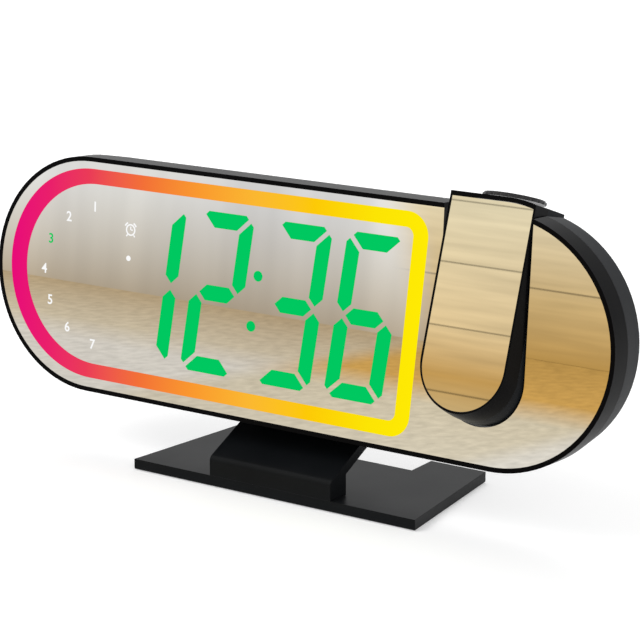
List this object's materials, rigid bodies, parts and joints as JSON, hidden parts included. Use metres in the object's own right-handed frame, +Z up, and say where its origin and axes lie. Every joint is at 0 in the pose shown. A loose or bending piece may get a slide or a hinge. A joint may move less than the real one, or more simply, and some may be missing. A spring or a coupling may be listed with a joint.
{
  "type": "projection alarm clock",
  "caption": "Long, thin mirror-faced clock with round ends on a narrow foot; a hinged projector arm with a focus ring sits in a notch near one end.",
  "frame": {"origin": "on the table, at the middle of the foot's rest face", "axes": "+X along the body towards the projector's end, +Y towards the back, +Z up; the clock faces -Y"},
  "size_m": [0.21, 0.0557, 0.0948],
  "materials": {
    "foot_plastic": "satin moulded dark grey plastic",
    "steel": "plain steel",
    "mat_rubber": "matt non-slip rubber",
    "screw_steel": "zinc-plated steel",
    "case_front": "black, half-gloss moulding",
    "case_rear": "black, finely textured moulding",
    "mirror_face": "half-silvered mirror acrylic",
    "white_plastic": "white light-cell moulding",
    "band_acrylic": "milky light-guide acrylic",
    "green_acrylic": "milky green light pipe",
    "clear_acrylic": "milky light pipe",
    "circuit_board": "green solder resist",
    "led_body": "moulded LED",
    "chip_body": "black chip resin",
    "dark_plastic": "black plastic",
    "contact_metal": "plated spring brass",
    "button_plastic": "black textured plastic",
    "bush_bronze": "sintered bronze",
    "panel_glass": "small display panel behind glass",
    "lens_glass": "polished lens",
    "ring_plastic": "black ribbed moulding"
  },
  "bodies": {
    "clock_body": {"base_plate": "foot_plastic", "base_weight": "steel", "base_mat": "mat_rubber", "base_screws": "screw_steel", "neck": "foot_plastic", "neck_screws": "screw_steel", "front_frame": "case_front", "rear_cover": "case_rear", "case_screws": "screw_steel", "mirror_panel": "mirror_face", "display_chassis": "white_plastic", "band_light_guide": "band_acrylic", "segment_light_pipes": "green_acrylic", "mark_light_pipes": "clear_acrylic", "display_board": "circuit_board", "segment_leds": "led_body", "band_leds": "led_body", "controller_chips": "chip_body", "battery_holder": "dark_plastic", "battery_contacts": "contact_metal", "coin_cell": "steel", "usb_c_port": "steel", "buzzer": "dark_plastic", "button_switches": "dark_plastic", "hinge_bushes": "bush_bronze"},
    "projector_arm": {"hinge_pins": "steel", "friction_washers": "steel", "arm_shell": "case_front", "arm_cover": "case_rear", "arm_mirror": "mirror_face", "arm_screws": "screw_steel", "tunnel_front": "dark_plastic", "tunnel_back": "dark_plastic", "projector_panel": "panel_glass", "condenser_lens": "lens_glass", "projector_led": "led_body", "projector_board": "circuit_board"},
    "focus_ring_body": {"focus_ring": "ring_plastic", "ring_retainer": "steel"},
    "lens_body": {"lens_barrel": "dark_plastic", "projector_lens": "lens_glass"},
    "battery_door_body": {"battery_door": "case_rear"},
    "mode_button_body": {"mode_button": "button_plastic"},
    "set_button_body": {"set_button": "button_plastic"},
    "up_button_body": {"up_button": "button_plastic"},
    "down_button_body": {"down_button": "button_plastic"},
    "alarm_button_body": {"alarm_button": "button_plastic"},
    "projector_button_body": {"projector_button": "button_plastic"}
  },
  "joints": [
    {"name": "arm_tilt", "type": "hinge", "parent": "clock_body", "child": "projector_arm", "pos_m": [0.0655, -0.00218, 0.08237], "axis": [1, 0, 0], "range_deg": [-75.2, 104.8]},
    {"name": "ring_turn", "type": "hinge", "parent": "projector_arm", "child": "focus_ring_body", "pos_m": [0.067, -0.00459, 0.09095], "axis": [0, 0.3223, 0.9466], "range_deg": [-180, 180]},
    {"name": "lens_focus", "type": "slide", "parent": "projector_arm", "child": "lens_body", "axis": [0, 0.3223, 0.9466], "range_m": [-0.0006, 0.0006]},
    {"name": "battery_door_turn", "type": "hinge", "parent": "clock_body", "child": "battery_door_body", "pos_m": [-0.084, -0.00144, 0.05425], "axis": [0, 0.9976, -0.0698], "range_deg": [0, 60]},
    {"name": "mode_press", "type": "slide", "parent": "clock_body", "child": "mode_button_body", "axis": [0, -0.9976, 0.0698], "range_m": [0, 0.0008], "stiffness_N_per_m": 1500},
    {"name": "set_press", "type": "slide", "parent": "clock_body", "child": "set_button_body", "axis": [0, -0.9976, 0.0698], "range_m": [0, 0.0008], "stiffness_N_per_m": 1500},
    {"name": "up_press", "type": "slide", "parent": "clock_body", "child": "up_button_body", "axis": [0, -0.9976, 0.0698], "range_m": [0, 0.0008], "stiffness_N_per_m": 1500},
    {"name": "down_press", "type": "slide", "parent": "clock_body", "child": "down_button_body", "axis": [0, -0.9976, 0.0698], "range_m": [0, 0.0008], "stiffness_N_per_m": 1500},
    {"name": "alarm_press", "type": "slide", "parent": "clock_body", "child": "alarm_button_body", "axis": [0, -0.9976, 0.0698], "range_m": [0, 0.0008], "stiffness_N_per_m": 1500},
    {"name": "projector_press", "type": "slide", "parent": "clock_body", "child": "projector_button_body", "axis": [0, -0.9976, 0.0698], "range_m": [0, 0.0008], "stiffness_N_per_m": 1500}
  ],
  "couplings": [
    {"joint": "ring_turn", "follows": "lens_focus", "rad_per_m": 5236}
  ]
}
